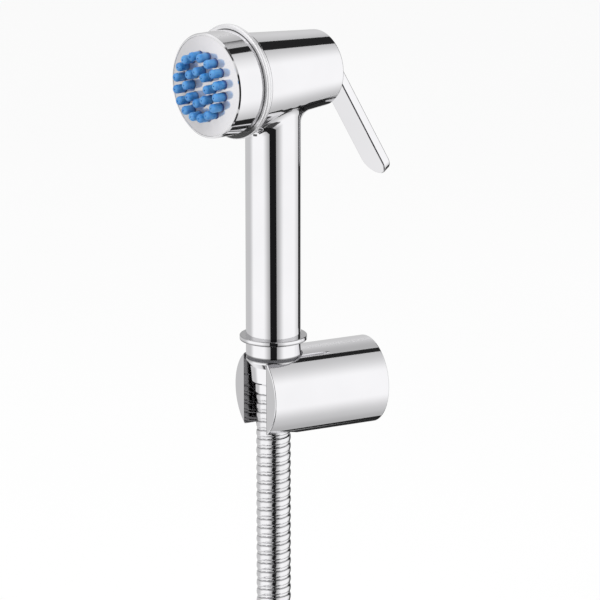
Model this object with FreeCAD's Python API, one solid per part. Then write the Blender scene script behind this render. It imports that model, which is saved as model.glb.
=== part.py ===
import FreeCAD, Part
import math
from FreeCAD import Vector

# Handheld bidet shower, hanging in its wall holder on its own metal hose. Millimetres.
# The origin is the centre of the holder's wall face: +Y points into the wall, -Y into the
# room, +Z up. The holder's axis lies along Y, and the hose hangs at HOSE_FROM_WALL from it.

# Driving sizes of the whole
HOSE_DIAMETER = 14.0
GRIP_DIAMETER = 22.0
HOSE_FROM_WALL = 43.4
HANDSET_TURN = 13.6  # degrees that the handset is turned about the hose in its holder

# Holder
HOLDER_DIAMETER = 35.4
HOLDER_LIP = 8.3  # from the hose axis to the open front
SLOT_WIDTH = 19.4
HOLDER_WALL = 2.7
HOLDER_RECESS = 16.0
HOLDER_EDGE = 0.5
PLATE_DEPTH = 8.0
PLATE_CLEARANCE = 0.1
WALL_HOLE_DIAMETER = 4.4
WALL_HOLE_SPACING = 16.0
WALL_HOLE_SINK = 1.8
GRUB_DIAMETER = 4.0
GRUB_BITE = 1.2
GRUB_BELOW = 0.4
GRUB_SOCKET = 1.0

# Stack on the hose axis, from the holder's seat up to the grip
NUT_TOP = 14.6  # above the holder's axis
NUT_DIAMETER = 21.8
NUT_LENGTH = 10.6
NUT_BODY_DIAMETER = 18.6
NUT_FOOT_DIAMETER = 17.4
NUT_RIM = 1.0
NUT_SHOULDER = 2.2
NUT_SOLE = 4.5
NECK_WASHER_THICKNESS = 1.2
NECK_WASHER_INSET = 0.35
COLLAR_LENGTH = 6.05
BASE_RING_THICKNESS = 1.95
BASE_RING_STANDS = 2.5  # out of the grip's side
BASE_RING_EDGE = 0.35
SPIGOT_DIAMETER = 16.6
SPIGOT_INTO_NUT = 3.4
WATERWAY_DIAMETER = 12.0
SEAT_CLEARANCE = 0.1
RING_CLEARANCE = 0.05

# Hose end under the nut
TAIL_DIAMETER = 7.6
TAIL_BORE = 5.2
TAIL_FLANGE = 1.0
HOSE_WASHER_THICKNESS = 1.5
FERRULE_DIAMETER = 14.8
FERRULE_SHOWS = 3.5

# Grip and barrel
GRIP_LENGTH = 105.2  # from the base ring's top to the barrel's axis
BARREL_FRONT_DIAMETER = 37.4
BARREL_REAR_DIAMETER = 30.5
BARREL_REAR = 24.0  # from the grip's axis to the barrel's rear edge
BARREL_EDGE = 0.8
BARREL_BLEND = 6.0
FLANGE_DIAMETER = 42.6
FLANGE_THICKNESS = 2.1
FLANGE_EDGE = 0.9
CHAMBER_DIAMETER = 29.2
WEB_THICKNESS = 2.5
WEB_LIP = 1.3

# Nozzle
FACE_REACH = 34.5  # from the grip's axis to the nozzle's front edge
CAP_DIAMETER = 41.2
CAP_LENGTH = 12.4
CAP_WALL = 1.6
CAP_LIP = 0.15  # in front of the face plate's rim
CAP_LIP_WIDTH = 0.9
CAP_EDGE = 0.5
TRIM_RING_DIAMETER = 45.2
TRIM_RING_THICKNESS = 2.0
TRIM_RING_EDGE = 0.8
FACE_THICKNESS = 1.6  # at its rim
FACE_DOME = 1.6  # height of its rounded front
MAT_THICKNESS = 1.4
FLOW_DISC_THICKNESS = 1.5
FLOW_HOLE_DIAMETER = 2.4
FLOW_HOLE_COUNTS = (6, 12)  # in the inner and the outer ring
FLOW_HOLE_RADII = (5.0, 11.0)
RING_TURNS = (0.0, 0.5)  # steps that the inner and the outer ring's first place is past the top
NUB_DIAMETER = 3.5
NUB_LENGTH = 6.0  # from the face plate's rim to their tips
NUB_ROUND = 1.1
NUB_OUTLET_DIAMETER = 0.8
NUB_OUTLET_DEPTH = 1.5
NUB_CLEARANCE = 0.15
NUB_COUNTS = (8, 16)  # in the inner and the outer ring
NUB_RADII = (6.2, 12.0)
BASE_RIM = 1.8
BASE_RIM_WIDTH = 2.0
SKIRT_BORE = 18.0
CAP_SEAL_THICKNESS = 1.0
CAP_SEAL_BORE = 20.0
FIT_CLEARANCE = 0.05

# Valve cartridge in the barrel
VALVE_DIAMETER = 23.0
VALVE_LENGTH = 21.0
VALVE_AHEAD = 9.0  # from the grip's axis to the cartridge's front face
CHAMBER_WALL = 0.9  # between the spring's chamber and the flow channels
SEAT_PLACE = 10.5  # from the cartridge's front face to its seat wall
SEAT_WALL = 1.8
SEAT_LIP = 0.8
SEAT_LIP_WIDTH = 1.0
ORIFICE_DIAMETER = 7.6
OUTLET_WALL = 1.7
GLAND_LENGTH = 5.0
FLOW_CHANNEL_DIAMETER = 1.8
FLOW_CHANNEL_COUNT = 4
FLOW_CHANNEL_INSET = 1.0  # from the outlet chamber's wall to a channel's axis
INLET_GROOVE_START = 3.6
INLET_GROOVE_WIDTH = 5.4
INLET_GROOVE_DEPTH = 1.0
INLET_PORT_DIAMETER = 4.0
SEAL_WIDTH = 1.8
SEAL_DEPTH = 1.2
FRONT_SEAL_PLACE = 1.0
REAR_SEAL_PLACE = 12.0
STEM_DIAMETER = 4.0
STEM_CLEARANCE = 0.05
STEM_SEAL_DIAMETER = 7.4
STEM_SEAL_WIDTH = 1.8
STEM_SEAL_PLACE = 1.2
STEM_STANDS = 3.0  # behind the cartridge
POPPET_GAP = 1.4
POPPET_THICKNESS = 1.8
POPPET_NOSE = 4.0
POPPET_NOSE_DIAMETER = 3.0
VALVE_WASHER_THICKNESS = 1.6
SPRING_DIAMETER = 8.6
SPRING_WIRE = 0.8
SPRING_TURNS = 3.0
SPRING_GAP = 0.3
PLUG_THICKNESS = 2.2

# Lever and the bush that carries its pin
BUSH_RECESS = 0.6
BUSH_SIDE_GAP = 0.3  # beside the lever's hub
BUSH_SLOT_DEPTH = 5.2
LEVER_HUB_WIDTH = 10.0
LEVER_WIDTH = 13.2
LEVER_THICKNESS = 3.9
LEVER_REACH = 66.7  # from the pin to the lever's tip
LEVER_SLOPE = 57.7  # degrees below the barrel's axis
LEVER_OFFSET = 2.8  # from the pin's axis to the lever's inner face
LEVER_ROOT = 5.8  # from the pin to the blade's upper end
LEVER_EDGE = 0.8
LEVER_GAP = 0.3
HUB_DIAMETER = 5.6
PIN_DIAMETER = 2.5
PIN_CLEARANCE = 0.04
PIN_BELOW_TOP = 4.5  # from the bush's top to the pin's axis
PIN_BEHIND_NOSE = 3.2
NOSE_BELOW_AXIS = 2.6

# The hose's route: straight down, then a wide bend onto the floor. Points chosen by hand.
ROUTE = (
    (0.0, -43.4, 0.5),
    (0.0, -43.4, -53.0),
    (0.9, -43.9, -106.0),
    (24.2, -57.4, -148.0),
    (64.1, -80.4, -167.5),
    (92.7, -96.9, -167.5),
)
ARC_SHARE = 0.45
COIL_MEAN_DIAMETER = 160.0
COIL_LAYERS = 2
COIL_CORNER = 6.0
END_RUNS = (27.2, 22.0, 20.0)  # along the floor from the coil to the end fitting
TUBE_START = 22.0  # where the end run has come out of the coil

# Fitting on the hose's far end, lying on the floor
END_NUT_DIAMETER = 24.0
END_NUT_LENGTH = 28.0
END_NUT_BACK = 3.0
END_THREAD_DIAMETER = 20.96
END_SEAT_DIAMETER = 20.0
END_CHAMFER = 0.9
END_FERRULE_LENGTH = 11.0
END_FERRULE_DIAMETER = 16.4
END_COLLAR_LENGTH = 3.0
END_COLLAR_DIAMETER = 20.4
END_FLANGE = 2.0
END_WASHER_THICKNESS = 2.0
END_WASHER_BORE = 9.0
TURN_CLEARANCE = 0.1

# How far a cut runs past a face, and how near two places count as the same
PAST = 1.0
SAME = 0.01

# Places that follow from the sizes, on the hose axis
COLLAR_BOTTOM = NUT_TOP + NECK_WASHER_THICKNESS
RING_BOTTOM = COLLAR_BOTTOM + COLLAR_LENGTH
GRIP_BOTTOM = RING_BOTTOM + BASE_RING_THICKNESS
HEAD_Z = GRIP_BOTTOM + GRIP_LENGTH
NUT_BOTTOM = NUT_TOP - NUT_LENGTH
NUT_FLOOR = NUT_BOTTOM + NUT_SOLE
SPIGOT_BOTTOM = NUT_TOP - SPIGOT_INTO_NUT
FERRULE_BOTTOM = NUT_BOTTOM - FERRULE_SHOWS

# Places along the barrel, where the grip's axis is 0 and the nozzle points to -Y
CAP_REAR = -(FACE_REACH - CAP_LENGTH)
BARREL_FRONT = CAP_REAR + TRIM_RING_THICKNESS
BUSH_REAR = BARREL_REAR - BUSH_RECESS
FACE_FRONT = -FACE_REACH + CAP_LIP
MAT_FRONT = FACE_FRONT + FACE_THICKNESS
DISC_FRONT = MAT_FRONT + MAT_THICKNESS
BASE_FRONT = DISC_FRONT + FLOW_DISC_THICKNESS
VALVE_FRONT = -VALVE_AHEAD
VALVE_REAR = VALVE_FRONT + VALVE_LENGTH
WEB_FRONT = VALVE_FRONT - WEB_THICKNESS
SKIRT_REAR = WEB_FRONT - CAP_SEAL_THICKNESS
SEAT_Y = VALVE_FRONT + SEAT_PLACE
GLAND_FRONT = VALVE_REAR - GLAND_LENGTH
WASHER_REAR = SEAT_Y - SEAT_LIP
POPPET_REAR = WASHER_REAR - VALVE_WASHER_THICKNESS
POPPET_FRONT = POPPET_REAR - POPPET_THICKNESS
PLUG_REAR = VALVE_FRONT + PLUG_THICKNESS
STEM_TIP = VALVE_REAR + STEM_STANDS
NOSE_FACE = STEM_TIP + LEVER_GAP
PIN_Y = NOSE_FACE + PIN_BEHIND_NOSE
PIN_HEIGHT = VALVE_DIAMETER / 2 - PIN_BELOW_TOP
PIN_Z = HEAD_Z + PIN_HEIGHT

# Sizes that follow from those around them
BASE_RING_DIAMETER = GRIP_DIAMETER + 2 * BASE_RING_STANDS
CAP_MOUTH = CAP_DIAMETER - 2 * CAP_LIP_WIDTH
FACE_DIAMETER = CAP_MOUTH - 2 * FIT_CLEARANCE
FACE_BALL_RADIUS = (FACE_DIAMETER**2 / 4 + FACE_DOME**2) / (2 * FACE_DOME)
DISC_DIAMETER = CAP_DIAMETER - 2 * CAP_WALL - 2 * FIT_CLEARANCE
OUTLET_CHAMBER_DIAMETER = VALVE_DIAMETER - 2 * OUTLET_WALL
FLOW_CHANNEL_RADIUS = OUTLET_CHAMBER_DIAMETER / 2 - FLOW_CHANNEL_INSET
VALVE_CHAMBER_DIAMETER = 2 * (FLOW_CHANNEL_RADIUS - CHAMBER_WALL) - FLOW_CHANNEL_DIAMETER
POPPET_DIAMETER = VALVE_CHAMBER_DIAMETER - 2 * POPPET_GAP
BUSH_SLOT_WIDTH = LEVER_HUB_WIDTH + 2 * BUSH_SIDE_GAP
STEM_BORE = STEM_DIAMETER + 2 * STEM_CLEARANCE
HOLDER_BORE = HOLDER_DIAMETER - 2 * HOLDER_WALL

# Places of the coil and of the far end
HOSE_RADIUS = HOSE_DIAMETER / 2
FLOOR_Z = ROUTE[-1][2] - HOSE_RADIUS - (COIL_LAYERS - 1) * HOSE_DIAMETER
ROUTE_HEADING = math.atan2(ROUTE[-1][1] - ROUTE[-2][1], ROUTE[-1][0] - ROUTE[-2][0])
COIL_RADIUS = COIL_MEAN_DIAMETER / 2
COIL_X = ROUTE[-1][0] + COIL_RADIUS * math.sin(ROUTE_HEADING)
COIL_Y = ROUTE[-1][1] - COIL_RADIUS * math.cos(ROUTE_HEADING)
END_X = COIL_X - COIL_RADIUS
END_Z = FLOOR_Z + END_NUT_DIAMETER / 2
END_FERRULE_START = COIL_Y + sum(END_RUNS)
END_COLLAR_START = END_FERRULE_START + END_FERRULE_LENGTH
END_NUT_START = END_COLLAR_START + END_COLLAR_LENGTH + TURN_CLEARANCE
END_NUT_END = END_NUT_START + END_NUT_LENGTH
END_FLANGE_START = END_NUT_START + END_NUT_BACK + TURN_CLEARANCE
END_WASHER_START = END_FLANGE_START + END_FLANGE
END_THREAD_START = END_WASHER_START + END_WASHER_THICKNESS

ALONG_Y = Vector(0, 1, 0)


def tube_z(diameter, bottom, top, bore=0.0):
    """A disc, ring or tube on the vertical axis."""
    solid = Part.makeCylinder(diameter / 2, top - bottom, Vector(0, 0, bottom))
    if bore:
        hole = Part.makeCylinder(bore / 2, top - bottom + 2 * PAST, Vector(0, 0, bottom - PAST))
        solid = solid.cut(hole)
    return solid


def tube_y(diameter, front, rear, bore=0.0, x=0.0, z=0.0):
    """A disc, ring or tube along Y."""
    solid = Part.makeCylinder(diameter / 2, rear - front, Vector(x, front, z), ALONG_Y)
    if bore:
        start = Vector(x, front - PAST, z)
        solid = solid.cut(Part.makeCylinder(bore / 2, rear - front + 2 * PAST, start, ALONG_Y))
    return solid


def barrel_tube(diameter, front, rear, bore=0.0):
    """A disc, ring or tube on the barrel's axis."""
    return tube_y(diameter, front, rear, bore, z=HEAD_Z)


def turned_z(outline):
    """A solid turned about the vertical axis from (radius, height) points."""
    points = [Vector(r, 0, z) for r, z in outline]
    face = Part.Face(Part.makePolygon(points + points[:1]))
    return face.revolve(Vector(0, 0, 0), Vector(0, 0, 1), 360)


def circle_edges(shape, radius, level, axis):
    """The full circles of a radius that lie at a level along an axis."""
    found = []
    for edge in shape.Edges:
        curve = edge.Curve
        if not isinstance(curve, Part.Circle) or abs(curve.Radius - radius) > SAME:
            continue
        if abs(getattr(curve.Center, axis) - level) < SAME:
            found.append(edge)
    return found


def ring_places(counts, radii):
    """Places (x, z) evenly spread on rings round the barrel's axis."""
    places = []
    for count, radius, turn in zip(counts, radii, RING_TURNS):
        for k in range(count):
            angle = 2 * math.pi * (k + turn) / count
            places.append((radius * math.sin(angle), HEAD_Z + radius * math.cos(angle)))
    return places


def drill(solid, diameter, front, rear, places):
    """Cut holes along Y through a disc of the nozzle."""
    holes = [tube_y(diameter, front - PAST, rear + PAST, x=x, z=z) for x, z in places]
    return solid.cut(Part.makeCompound(holes))


def place_handset(shape):
    """Turn a piece of the handset with it and bring it to the hose axis."""
    placed = shape.copy()
    placed.rotate(Vector(0, 0, 0), Vector(0, 0, 1), HANDSET_TURN)
    placed.translate(Vector(0, -HOSE_FROM_WALL, 0))
    return placed


def write(name, shape):
    shape.exportStep("parts/" + name + ".step")
    print(name, "valid", shape.isValid(), "solids", len(shape.Solids), "volume", round(shape.Volume, 1))


# Handset body: one casting of barrel and grip

def barrel_radius(y):
    share = (y - BARREL_FRONT) / (BARREL_REAR - BARREL_FRONT)
    return BARREL_FRONT_DIAMETER / 2 * (1 - share) + BARREL_REAR_DIAMETER / 2 * share


def make_handset_body():
    length = BARREL_REAR - BARREL_FRONT
    barrel = Part.makeCone(
        barrel_radius(BARREL_FRONT),
        barrel_radius(BARREL_REAR),
        length,
        Vector(0, BARREL_FRONT, HEAD_Z),
        ALONG_Y,
    )
    grip = tube_z(GRIP_DIAMETER, GRIP_BOTTOM, HEAD_Z)
    body = barrel.fuse(grip).removeSplitter()
    joint = [
        edge
        for edge in body.Edges
        if not isinstance(edge.Curve, (Part.Circle, Part.Line)) and edge.BoundBox.ZMax < HEAD_Z
    ]
    body = body.makeFillet(BARREL_BLEND, joint)
    body = body.makeFillet(BARREL_EDGE, circle_edges(body, BARREL_REAR_DIAMETER / 2, BARREL_REAR, "y"))
    flange = barrel_tube(FLANGE_DIAMETER, BARREL_FRONT, BARREL_FRONT + FLANGE_THICKNESS)
    rear_edge = circle_edges(flange, FLANGE_DIAMETER / 2, BARREL_FRONT + FLANGE_THICKNESS, "y")
    body = body.fuse(flange.makeFillet(FLANGE_EDGE, rear_edge))
    body = body.fuse(tube_z(SPIGOT_DIAMETER, SPIGOT_BOTTOM, GRIP_BOTTOM + PAST))
    bores = [
        barrel_tube(CHAMBER_DIAMETER, BARREL_FRONT - PAST, WEB_FRONT),
        barrel_tube(VALVE_DIAMETER - 2 * WEB_LIP, WEB_FRONT - PAST, VALVE_FRONT + PAST),
        barrel_tube(VALVE_DIAMETER + 2 * FIT_CLEARANCE, VALVE_FRONT, BARREL_REAR + PAST),
        tube_z(WATERWAY_DIAMETER, SPIGOT_BOTTOM - PAST, HEAD_Z),
    ]
    for bore in bores:
        body = body.cut(bore)
    return body


# Nozzle

def make_nozzle_cap():
    cap = barrel_tube(CAP_DIAMETER, -FACE_REACH, CAP_REAR)
    front_edge = circle_edges(cap, CAP_DIAMETER / 2, -FACE_REACH, "y")
    cap = cap.makeChamfer(CAP_EDGE, front_edge)
    cap = cap.cut(barrel_tube(CAP_MOUTH, -FACE_REACH - PAST, MAT_FRONT))
    return cap.cut(barrel_tube(CAP_DIAMETER - 2 * CAP_WALL, MAT_FRONT - PAST, CAP_REAR + PAST))


def make_face_plate():
    """A disc with a gently domed front, pressed into the mouth of the cap."""
    dome_top = FACE_FRONT - FACE_DOME
    plate = barrel_tube(FACE_DIAMETER, dome_top, MAT_FRONT)
    ball = Part.makeSphere(FACE_BALL_RADIUS, Vector(0, dome_top + FACE_BALL_RADIUS, HEAD_Z))
    hole = NUB_DIAMETER + 2 * NUB_CLEARANCE
    places = ring_places(NUB_COUNTS, NUB_RADII)
    return drill(plate.common(ball), hole, dome_top, MAT_FRONT, places)


def make_nub():
    """A nub on the Y axis, from the back of the mat to its rounded tip."""
    tip = FACE_FRONT - NUB_LENGTH
    nub = tube_y(NUB_DIAMETER, tip, DISC_FRONT)
    nub = nub.makeFillet(NUB_ROUND, circle_edges(nub, NUB_DIAMETER / 2, tip, "y"))
    return nub.cut(tube_y(NUB_OUTLET_DIAMETER, tip - PAST, tip + NUB_OUTLET_DEPTH))


def make_spray_nozzles():
    mat = barrel_tube(DISC_DIAMETER, MAT_FRONT, DISC_FRONT)
    pattern = make_nub()
    nubs = [pattern.translated(Vector(x, 0, z)) for x, z in ring_places(NUB_COUNTS, NUB_RADII)]
    return mat.multiFuse(nubs)


def make_flow_disc():
    disc = barrel_tube(DISC_DIAMETER, DISC_FRONT, BASE_FRONT)
    places = ring_places(FLOW_HOLE_COUNTS, FLOW_HOLE_RADII)
    return drill(disc, FLOW_HOLE_DIAMETER, DISC_FRONT, BASE_FRONT, places)


def make_nozzle_base():
    base = barrel_tube(DISC_DIAMETER, BASE_FRONT, CAP_REAR)
    skirt = barrel_tube(CHAMBER_DIAMETER - 2 * FIT_CLEARANCE, CAP_REAR - PAST, SKIRT_REAR)
    hollow = barrel_tube(DISC_DIAMETER - 2 * BASE_RIM_WIDTH, BASE_FRONT - PAST, BASE_FRONT + BASE_RIM)
    outlet = barrel_tube(SKIRT_BORE, BASE_FRONT - PAST, SKIRT_REAR + PAST)
    return base.fuse(skirt).cut(hollow).cut(outlet)


def make_trim_ring():
    ring = barrel_tube(TRIM_RING_DIAMETER, CAP_REAR, BARREL_FRONT, CHAMBER_DIAMETER)
    edges = circle_edges(ring, TRIM_RING_DIAMETER / 2, CAP_REAR, "y")
    edges += circle_edges(ring, TRIM_RING_DIAMETER / 2, BARREL_FRONT, "y")
    return ring.makeFillet(TRIM_RING_EDGE, edges)


def make_cap_seal():
    return barrel_tube(CHAMBER_DIAMETER - 2 * FIT_CLEARANCE, SKIRT_REAR, WEB_FRONT, CAP_SEAL_BORE)


# Valve cartridge

def seal_grooves():
    """The two grooves for the cartridge's seals, as (front, rear) places."""
    starts = (VALVE_FRONT + FRONT_SEAL_PLACE, VALVE_FRONT + REAR_SEAL_PLACE)
    return [(start, start + SEAL_WIDTH) for start in starts]


def make_valve_body():
    body = barrel_tube(VALVE_DIAMETER, VALVE_FRONT, VALVE_REAR)
    body = body.cut(barrel_tube(VALVE_CHAMBER_DIAMETER, VALVE_FRONT - PAST, SEAT_Y))
    lip = ORIFICE_DIAMETER + 2 * SEAT_LIP_WIDTH
    lip_front = SEAT_Y - SEAT_LIP
    seat_rear = SEAT_Y + SEAT_WALL
    body = body.fuse(barrel_tube(lip, lip_front, seat_rear))
    body = body.cut(barrel_tube(ORIFICE_DIAMETER, lip_front - PAST, seat_rear + PAST))
    body = body.cut(barrel_tube(OUTLET_CHAMBER_DIAMETER, seat_rear, VALVE_REAR + PAST))
    inlet_front = VALVE_FRONT + INLET_GROOVE_START
    inlet_rear = inlet_front + INLET_GROOVE_WIDTH
    grooves = seal_grooves() + [(inlet_front, inlet_rear)]
    depths = (SEAL_DEPTH, SEAL_DEPTH, INLET_GROOVE_DEPTH)
    for (front, rear), depth in zip(grooves, depths):
        body = body.cut(barrel_tube(VALVE_DIAMETER + PAST, front, rear, VALVE_DIAMETER - 2 * depth))
    middle = (inlet_front + inlet_rear) / 2
    for direction in (Vector(1, 0, 0), Vector(0, 0, 1)):
        start = Vector(0, middle, HEAD_Z) - direction * VALVE_DIAMETER
        body = body.cut(
            Part.makeCylinder(INLET_PORT_DIAMETER / 2, 2 * VALVE_DIAMETER, start, direction)
        )
    for k in range(FLOW_CHANNEL_COUNT):
        angle = 2 * math.pi * (k + 0.5) / FLOW_CHANNEL_COUNT
        x = FLOW_CHANNEL_RADIUS * math.cos(angle)
        z = HEAD_Z + FLOW_CHANNEL_RADIUS * math.sin(angle)
        body = body.cut(tube_y(FLOW_CHANNEL_DIAMETER, VALVE_FRONT - PAST, seat_rear + PAST, x=x, z=z))
    return body


def make_cartridge_seals():
    rings = [
        barrel_tube(VALVE_DIAMETER, front, rear, VALVE_DIAMETER - 2 * SEAL_DEPTH)
        for front, rear in seal_grooves()
    ]
    return Part.makeCompound(rings)


def make_valve_gland():
    gland = barrel_tube(OUTLET_CHAMBER_DIAMETER, GLAND_FRONT, VALVE_REAR, STEM_BORE)
    start = GLAND_FRONT + STEM_SEAL_PLACE
    return gland.cut(barrel_tube(STEM_SEAL_DIAMETER, start, start + STEM_SEAL_WIDTH))


def make_stem_seal():
    start = GLAND_FRONT + STEM_SEAL_PLACE
    return barrel_tube(STEM_SEAL_DIAMETER, start, start + STEM_SEAL_WIDTH, STEM_BORE)


def make_valve_stem():
    stem = barrel_tube(STEM_DIAMETER, POPPET_REAR - PAST, STEM_TIP)
    tip = circle_edges(stem, STEM_DIAMETER / 2, STEM_TIP, "y")
    stem = stem.makeFillet(STEM_DIAMETER / 4, tip)
    stem = stem.fuse(barrel_tube(POPPET_DIAMETER, POPPET_FRONT, POPPET_REAR))
    nose = barrel_tube(POPPET_NOSE_DIAMETER, POPPET_FRONT - POPPET_NOSE, POPPET_FRONT + PAST)
    return stem.fuse(nose)


def make_valve_washer():
    return barrel_tube(POPPET_DIAMETER, POPPET_REAR, WASHER_REAR, STEM_DIAMETER)


def make_spring_plug():
    bore = POPPET_NOSE_DIAMETER + 2 * STEM_CLEARANCE
    return barrel_tube(VALVE_CHAMBER_DIAMETER, VALVE_FRONT, PLUG_REAR, bore)


def make_return_spring():
    length = POPPET_FRONT - PLUG_REAR - 2 * SPRING_GAP - SPRING_WIRE
    radius = (SPRING_DIAMETER - SPRING_WIRE) / 2
    rise = length / SPRING_TURNS
    climb = math.atan2(rise, 2 * math.pi * radius)
    along_wire = Vector(0, math.cos(climb), math.sin(climb))
    path = Part.makeHelix(rise, length, radius)
    section = Part.Wire(Part.makeCircle(SPRING_WIRE / 2, Vector(radius, 0, 0), along_wire))
    spring = Part.Wire(path).makePipeShell([section], True, True)
    spring.rotate(Vector(0, 0, 0), Vector(1, 0, 0), -90)
    spring.translate(Vector(0, PLUG_REAR + SPRING_GAP + SPRING_WIRE / 2, HEAD_Z))
    return spring


# Lever, its pin and its bush

def make_lever_bush():
    bush = barrel_tube(VALVE_DIAMETER, VALVE_REAR, BUSH_REAR)
    height = BUSH_SLOT_DEPTH + VALVE_DIAMETER
    corner = Vector(-BUSH_SLOT_WIDTH / 2, VALVE_REAR - PAST, HEAD_Z - BUSH_SLOT_DEPTH)
    length = BUSH_REAR - VALVE_REAR + 2 * PAST
    bush = bush.cut(Part.makeBox(BUSH_SLOT_WIDTH, length, height, corner))
    return bush.cut(pin_cylinder(PIN_DIAMETER, VALVE_DIAMETER))


def pin_cylinder(diameter, length):
    return Part.makeCylinder(
        diameter / 2, length, Vector(-length / 2, PIN_Y, PIN_Z), Vector(1, 0, 0)
    )


def make_lever_pin():
    half_chord = math.sqrt((VALVE_DIAMETER / 2) ** 2 - (PIN_HEIGHT + PIN_DIAMETER / 2) ** 2)
    return pin_cylinder(PIN_DIAMETER, 2 * half_chord)


def make_lever():
    slope = math.radians(LEVER_SLOPE)
    along = Vector(0, math.cos(slope), -math.sin(slope))
    out = Vector(0, math.sin(slope), math.cos(slope))
    pin = Vector(0, PIN_Y, PIN_Z)

    def on_blade(reach, height):
        return pin + along * reach + out * height

    # The blade is a slab with round ends, made flat and then leaned down to its slope.
    half = LEVER_WIDTH / 2
    root = LEVER_ROOT + half
    outer = LEVER_OFFSET + LEVER_THICKNESS
    slab = Part.makeBox(
        LEVER_WIDTH, LEVER_REACH - half - root, LEVER_THICKNESS, Vector(-half, root, LEVER_OFFSET)
    )
    ends = [
        Part.makeCylinder(half, LEVER_THICKNESS, Vector(0, place, LEVER_OFFSET))
        for place in (root, LEVER_REACH - half)
    ]
    blade = slab.multiFuse(ends).removeSplitter()
    flat_edges = [e for e in blade.Edges if e.BoundBox.ZLength < SAME]
    blade = blade.makeFillet(LEVER_EDGE, flat_edges)
    blade.rotate(Vector(0, 0, 0), Vector(1, 0, 0), -LEVER_SLOPE)
    blade.translate(pin)

    # The hub carries the pin, and its nose reaches the stem.
    hub = pin_cylinder(HUB_DIAMETER, LEVER_HUB_WIDTH)
    nose_bottom = HEAD_Z - NOSE_BELOW_AXIS
    heel = on_blade(0, LEVER_OFFSET)
    heel_reach = (heel.z - nose_bottom) / math.sin(slope)
    outline = [
        Vector(0, NOSE_FACE, nose_bottom),
        Vector(0, NOSE_FACE, HEAD_Z + NOSE_BELOW_AXIS),
        Vector(0, PIN_Y - HUB_DIAMETER / 2, PIN_Z),
        Vector(0, PIN_Y, PIN_Z + HUB_DIAMETER / 2),
        on_blade(LEVER_ROOT / 2, outer - LEVER_EDGE),
        on_blade(heel_reach, outer - LEVER_EDGE),
        on_blade(heel_reach, LEVER_OFFSET),
    ]
    for point in outline:
        point.x = -LEVER_HUB_WIDTH / 2
    block = Part.Face(Part.makePolygon(outline + outline[:1])).extrude(Vector(LEVER_HUB_WIDTH, 0, 0))
    lever = blade.fuse(block).fuse(hub)
    return lever.cut(pin_cylinder(PIN_DIAMETER + 2 * PIN_CLEARANCE, LEVER_WIDTH))


# Ring, collar, washer and nut under the grip

def make_base_ring():
    ring = tube_z(BASE_RING_DIAMETER, RING_BOTTOM, GRIP_BOTTOM, SPIGOT_DIAMETER)
    edges = circle_edges(ring, BASE_RING_DIAMETER / 2, RING_BOTTOM, "z")
    edges += circle_edges(ring, BASE_RING_DIAMETER / 2, GRIP_BOTTOM, "z")
    return ring.makeFillet(BASE_RING_EDGE, edges)


def make_neck_collar():
    return tube_z(GRIP_DIAMETER, COLLAR_BOTTOM, RING_BOTTOM, SPIGOT_DIAMETER)


def make_neck_washer():
    return tube_z(NUT_DIAMETER - 2 * NECK_WASHER_INSET, NUT_TOP, COLLAR_BOTTOM, SPIGOT_DIAMETER)


def nut_outline(grow=0.0):
    """Half of the hose nut's outside, grown all round for the seat that it rests in."""
    top = NUT_DIAMETER / 2 + grow
    body = NUT_BODY_DIAMETER / 2 + grow
    foot = NUT_FOOT_DIAMETER / 2 + grow
    shoulder = NUT_TOP - NUT_RIM - NUT_SHOULDER
    return [
        (0, NUT_BOTTOM),
        (foot - NUT_RIM, NUT_BOTTOM),
        (foot, NUT_BOTTOM + NUT_RIM),
        (body, shoulder - grow),
        (top, NUT_TOP - NUT_RIM - grow),
        (top, NUT_TOP),
        (0, NUT_TOP),
    ]


def make_hose_nut():
    nut = turned_z(nut_outline())
    nut = nut.cut(tube_z(SPIGOT_DIAMETER, NUT_FLOOR, NUT_TOP + PAST))
    return nut.cut(tube_z(FERRULE_DIAMETER + 2 * RING_CLEARANCE, NUT_BOTTOM - PAST, NUT_FLOOR + PAST))


def make_hose_nut_washer():
    bottom = NUT_FLOOR + TAIL_FLANGE
    return tube_z(SPIGOT_DIAMETER, bottom, bottom + HOSE_WASHER_THICKNESS, TAIL_DIAMETER)


def make_hose_tail():
    flange = tube_z(SPIGOT_DIAMETER, NUT_FLOOR, NUT_FLOOR + TAIL_FLANGE)
    stub = tube_z(TAIL_DIAMETER, FERRULE_BOTTOM, NUT_FLOOR + TAIL_FLANGE)
    return flange.fuse(stub).cut(tube_z(TAIL_BORE, FERRULE_BOTTOM - PAST, NUT_TOP))


def make_hose_ferrule():
    return tube_z(FERRULE_DIAMETER, FERRULE_BOTTOM, NUT_FLOOR, TAIL_DIAMETER)


# Hose: tubes of straight runs joined by arcs, and the coil's outer shape

def rounded_path(points):
    """Straight runs joined by tangent arcs, and the arcs' radii."""
    corners = [Vector(*point) for point in points]
    edges = []
    radii = []
    start = corners[0]
    for before, corner, after in zip(corners, corners[1:], corners[2:]):
        back = (before - corner).normalize()
        ahead = (after - corner).normalize()
        turn = math.pi - back.getAngle(ahead)
        shorter = min((before - corner).Length, (after - corner).Length)
        cut_back = ARC_SHARE * shorter
        radius = cut_back / math.tan(turn / 2)
        first = corner + back * cut_back
        last = corner + ahead * cut_back
        inward = (back + ahead).normalize()
        middle = corner + inward * (radius / math.cos(turn / 2) - radius)
        edges.append(Part.makeLine(start, first))
        edges.append(Part.Arc(first, middle, last).toShape())
        radii.append(radius)
        start = last
    edges.append(Part.makeLine(start, corners[-1]))
    return Part.Wire(edges), radii


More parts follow.
